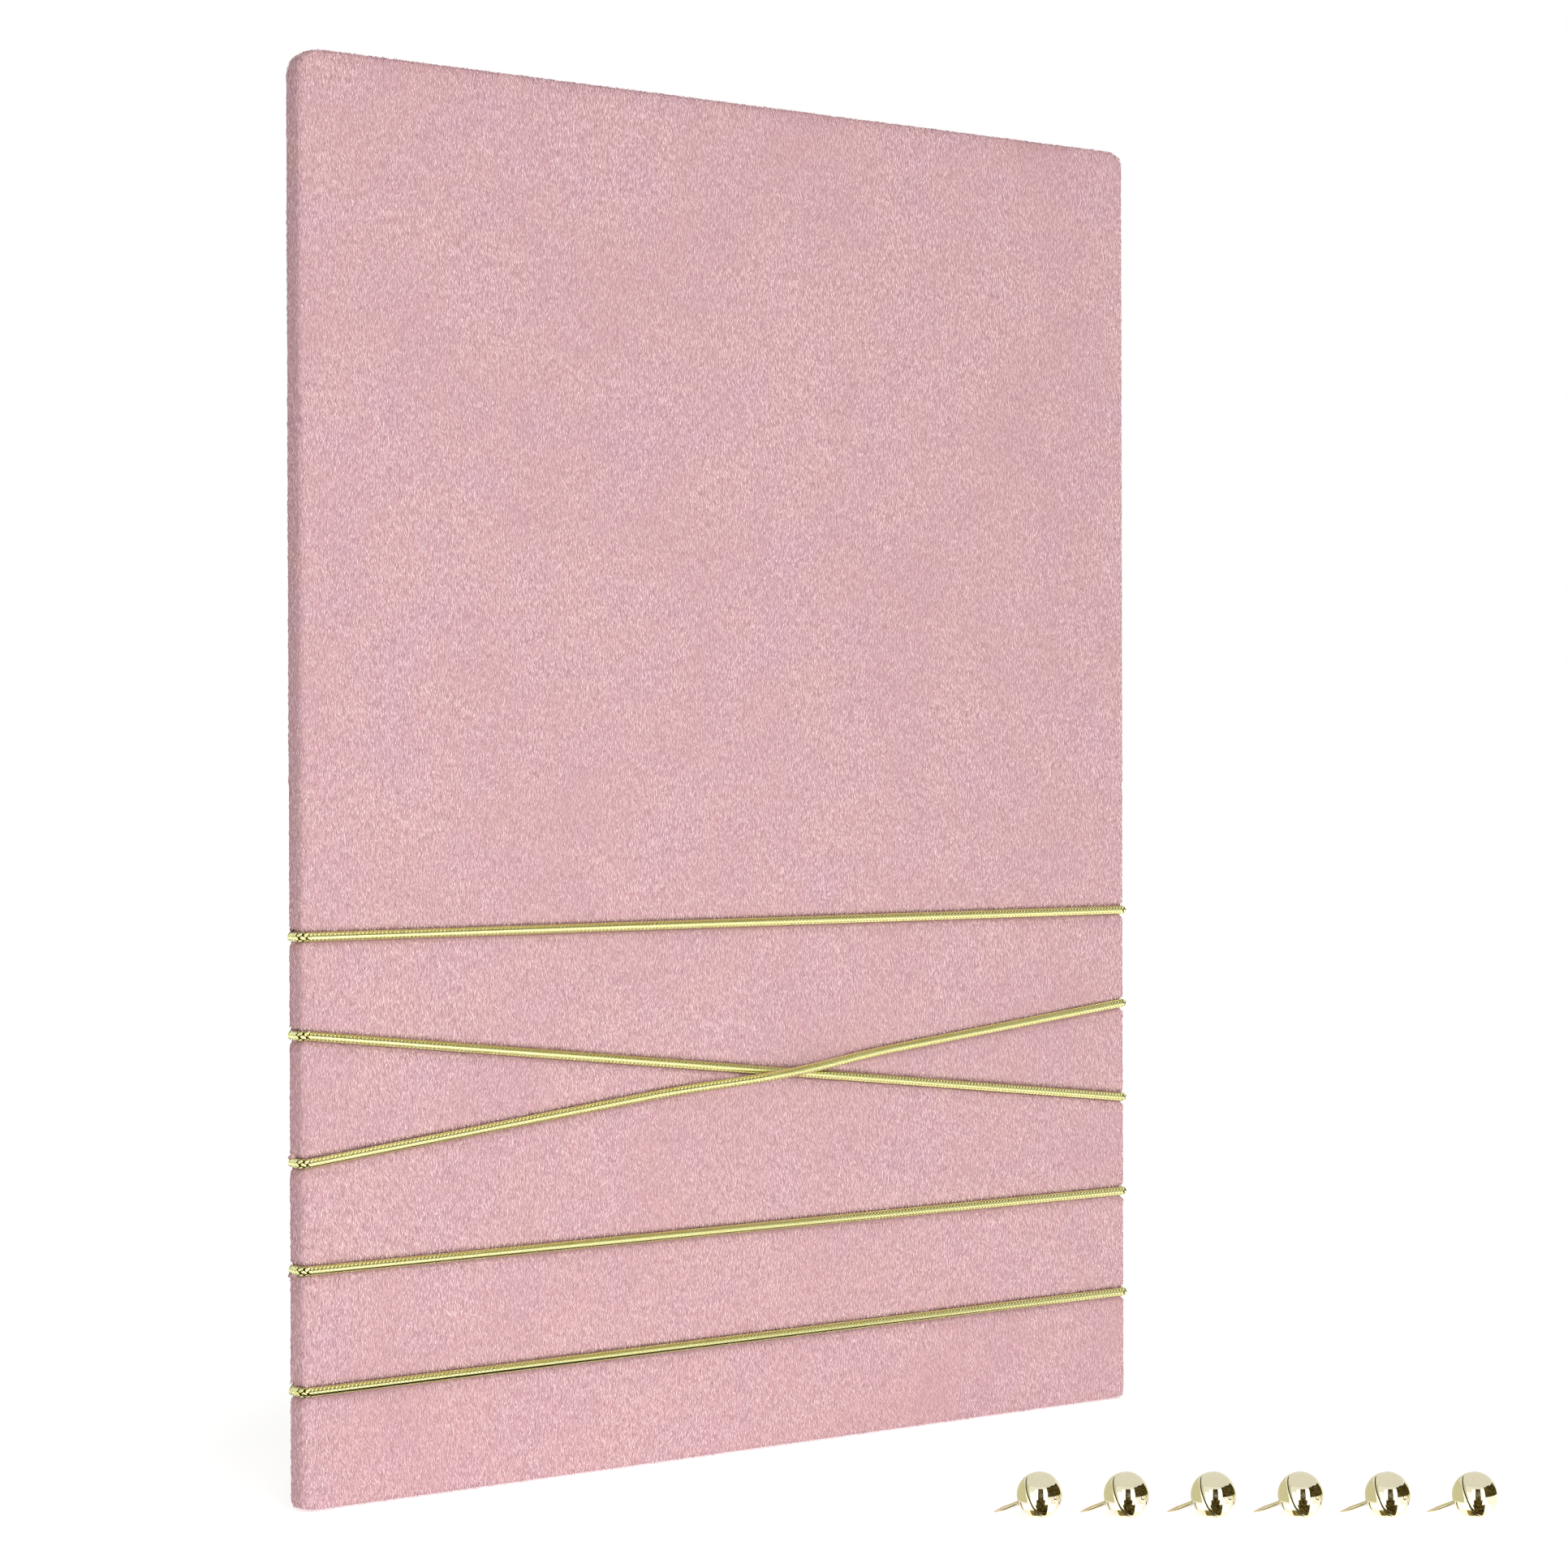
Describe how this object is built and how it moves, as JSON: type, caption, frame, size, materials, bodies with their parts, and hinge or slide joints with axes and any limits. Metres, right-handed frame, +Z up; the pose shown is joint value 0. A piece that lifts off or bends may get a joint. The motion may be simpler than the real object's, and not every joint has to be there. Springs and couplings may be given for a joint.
{
  "type": "french memo board",
  "caption": "Upright plush-covered memo board with elastic cords pulled across its lower front, ring hangers on its back and loose ball-head push pins.",
  "frame": {"origin": "middle of the board's lower edge, on the surface that the board stands on and the push pins lie on", "axes": "+Z up the board, +Y from the plush front towards the wall side, +X to the right seen from the front"},
  "size_m": [0.302, 0.2152, 0.4],
  "materials": {
    "plush": "matte",
    "core": "matte",
    "sheet": "matte",
    "gold_cord": "satin",
    "wire": "satin",
    "plated_steel": "satin",
    "needle_steel": "polished",
    "pin_gold": "polished"
  },
  "bodies": {
    "board": {"plush_cover": "plush", "core_board": "core", "backing_sheet": "sheet", "elastic_cord_1": "gold_cord", "elastic_cord_2": "gold_cord", "elastic_cord_3": "gold_cord", "elastic_cord_4": "gold_cord", "elastic_cord_5": "gold_cord", "cord_1_staple_left": "wire", "cord_1_staple_right": "wire", "cord_2_staple_left": "wire", "cord_2_staple_right": "wire", "cord_3_staple_left": "wire", "cord_3_staple_right": "wire", "cord_4_staple_left": "wire", "cord_4_staple_right": "wire", "cord_5_staple_left": "wire", "cord_5_staple_right": "wire", "hanger_strap_left": "plated_steel", "hanger_strap_right": "plated_steel", "hanger_screw_left": "plated_steel", "hanger_screw_right": "plated_steel"},
    "ring_left": {"hanger_ring_left": "plated_steel"},
    "ring_right": {"hanger_ring_right": "plated_steel"},
    "pin_1": {"pin_1_needle": "needle_steel", "pin_1_rear_shell": "pin_gold", "pin_1_front_shell": "pin_gold"},
    "pin_2": {"pin_2_needle": "needle_steel", "pin_2_rear_shell": "pin_gold", "pin_2_front_shell": "pin_gold"},
    "pin_3": {"pin_3_needle": "needle_steel", "pin_3_rear_shell": "pin_gold", "pin_3_front_shell": "pin_gold"},
    "pin_4": {"pin_4_needle": "needle_steel", "pin_4_rear_shell": "pin_gold", "pin_4_front_shell": "pin_gold"},
    "pin_5": {"pin_5_needle": "needle_steel", "pin_5_rear_shell": "pin_gold", "pin_5_front_shell": "pin_gold"},
    "pin_6": {"pin_6_needle": "needle_steel", "pin_6_rear_shell": "pin_gold", "pin_6_front_shell": "pin_gold"}
  },
  "joints": [
    {"name": "ring_left_swing", "type": "hinge", "parent": "board", "child": "ring_left", "pos_m": [-0.1, 0.0067, 0.38], "axis": [1, 0, 0], "range_deg": [0, 180]},
    {"name": "ring_right_swing", "type": "hinge", "parent": "board", "child": "ring_right", "pos_m": [0.1, 0.0067, 0.38], "axis": [1, 0, 0], "range_deg": [0, 180]},
    {"name": "pin_1_lift", "type": "slide", "parent": "board", "child": "pin_1", "axis": [0, 0, 1], "range_m": [0, 0.12]},
    {"name": "pin_2_lift", "type": "slide", "parent": "board", "child": "pin_2", "axis": [0, 0, 1], "range_m": [0, 0.12]},
    {"name": "pin_3_lift", "type": "slide", "parent": "board", "child": "pin_3", "axis": [0, 0, 1], "range_m": [0, 0.12]},
    {"name": "pin_4_lift", "type": "slide", "parent": "board", "child": "pin_4", "axis": [0, 0, 1], "range_m": [0, 0.12]},
    {"name": "pin_5_lift", "type": "slide", "parent": "board", "child": "pin_5", "axis": [0, 0, 1], "range_m": [0, 0.12]},
    {"name": "pin_6_lift", "type": "slide", "parent": "board", "child": "pin_6", "axis": [0, 0, 1], "range_m": [0, 0.12]}
  ]
}
